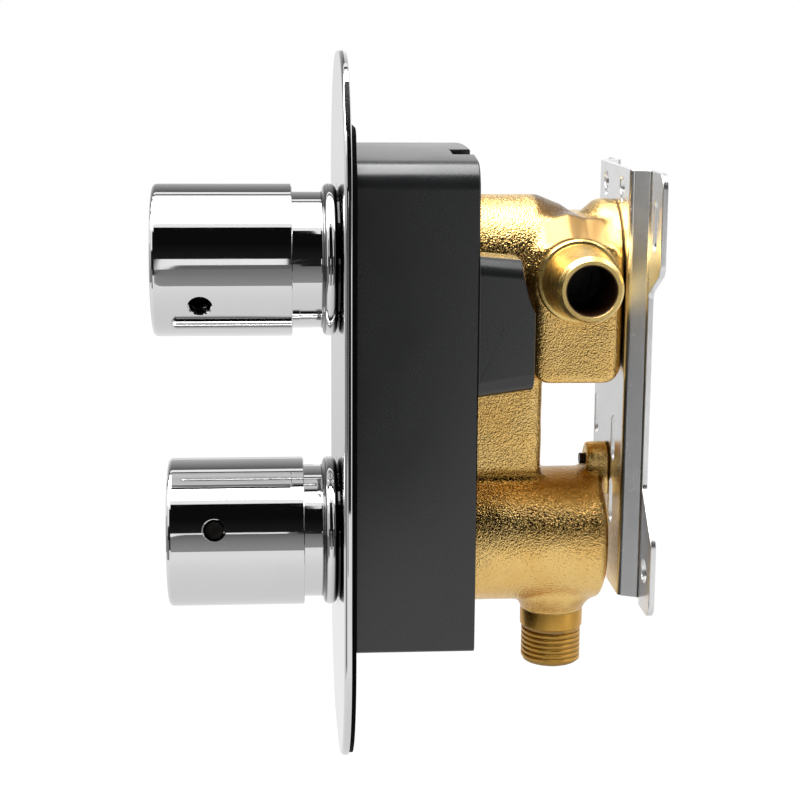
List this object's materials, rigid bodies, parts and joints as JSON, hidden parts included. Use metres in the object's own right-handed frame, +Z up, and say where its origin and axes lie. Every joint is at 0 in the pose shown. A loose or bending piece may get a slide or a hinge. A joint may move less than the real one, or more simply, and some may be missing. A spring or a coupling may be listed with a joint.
{
  "type": "concealed thermostatic shower valve",
  "caption": "Built-in thermostatic shower valve with a round-cornered chrome face plate, cylinder knobs, cast brass body, plastic guard housing and folded wall bracket.",
  "frame": {"origin": "on the wall plane, midway between the bracket's two lower fixing holes", "axes": "+Z up, +Y into the wall, +X towards the hot inlet; the knobs face -Y"},
  "size_m": [0.116, 0.165, 0.2406],
  "materials": {
    "zinc_steel": "bright zinc plate",
    "screw_steel": "dark plated steel",
    "spring_steel": "drawn wire",
    "cast_brass": "sand cast",
    "machined_brass": "turned",
    "copper_brass": "satin",
    "chrome": "polished",
    "knob_chrome": "polished",
    "housing_plastic": "satin moulded",
    "foam_seal": "closed-cell foam",
    "rubber": "smooth",
    "white_plastic": "moulded",
    "cartridge_plastic": "moulded",
    "ceramic": "lapped ceramic"
  },
  "bodies": {
    "valve": {"wall_bracket": "zinc_steel", "bracket_screws": "screw_steel", "lug_screw": "screw_steel", "valve_body": "cast_brass", "hot_inlet": "machined_brass", "cold_inlet": "machined_brass", "guard_housing": "housing_plastic", "plate_gasket": "foam_seal", "face_plate": "chrome", "temperature_sleeve": "chrome", "temperature_sleeve_ring": "rubber", "thermostat_nut": "machined_brass", "temperature_stop_ring": "white_plastic", "thermostat_housing": "cartridge_plastic", "thermostat_seals": "rubber", "return_spring": "spring_steel", "flow_sleeve": "chrome", "flow_sleeve_ring": "rubber", "flow_nut": "machined_brass", "flow_housing": "cartridge_plastic", "flow_seals": "rubber", "fixed_disc": "ceramic", "seat_seal": "rubber", "hot_check_body": "white_plastic", "hot_check_spring": "spring_steel", "cold_check_body": "white_plastic", "cold_check_spring": "spring_steel"},
    "temperature_control": {"temperature_knob": "knob_chrome", "temperature_grub_screw": "screw_steel", "temperature_adapter": "white_plastic", "thermostat_spindle": "machined_brass"},
    "thermostat": {"thermostat_slider": "cartridge_plastic", "wax_element": "copper_brass", "thermostat_piston": "cartridge_plastic"},
    "flow_control": {"flow_knob": "knob_chrome", "flow_grub_screw": "screw_steel", "flow_adapter": "white_plastic", "flow_spindle": "machined_brass", "moving_disc": "ceramic"},
    "hot_valve": {"hot_poppet": "cartridge_plastic"},
    "cold_valve": {"cold_poppet": "cartridge_plastic"}
  },
  "joints": [
    {"name": "temperature_turn", "type": "hinge", "parent": "valve", "child": "temperature_control", "pos_m": [0, -0.103, 0.1005], "axis": [0, 1, 0], "range_deg": [-50, 200]},
    {"name": "thermostat_slide", "type": "slide", "parent": "valve", "child": "thermostat", "axis": [0, 1, 0], "range_m": [-0.00028, 0.00111], "deforming": ["return_spring"]},
    {"name": "flow_turn", "type": "hinge", "parent": "valve", "child": "flow_control", "pos_m": [0, -0.103, 0.0055], "axis": [0, 1, 0], "range_deg": [-90, 0]},
    {"name": "hot_check_slide", "type": "slide", "parent": "valve", "child": "hot_valve", "axis": [-1, 0, 0], "range_m": [0, 0.0015], "stiffness_N_per_m": 60, "springref_m": -0.004, "deforming": ["hot_check_spring"]},
    {"name": "cold_check_slide", "type": "slide", "parent": "valve", "child": "cold_valve", "axis": [1, 0, 0], "range_m": [0, 0.0015], "stiffness_N_per_m": 60, "springref_m": -0.004, "deforming": ["cold_check_spring"]}
  ],
  "couplings": [
    {"joint": "thermostat_slide", "follows": "temperature_turn", "m_per_rad": 0.00031831}
  ]
}
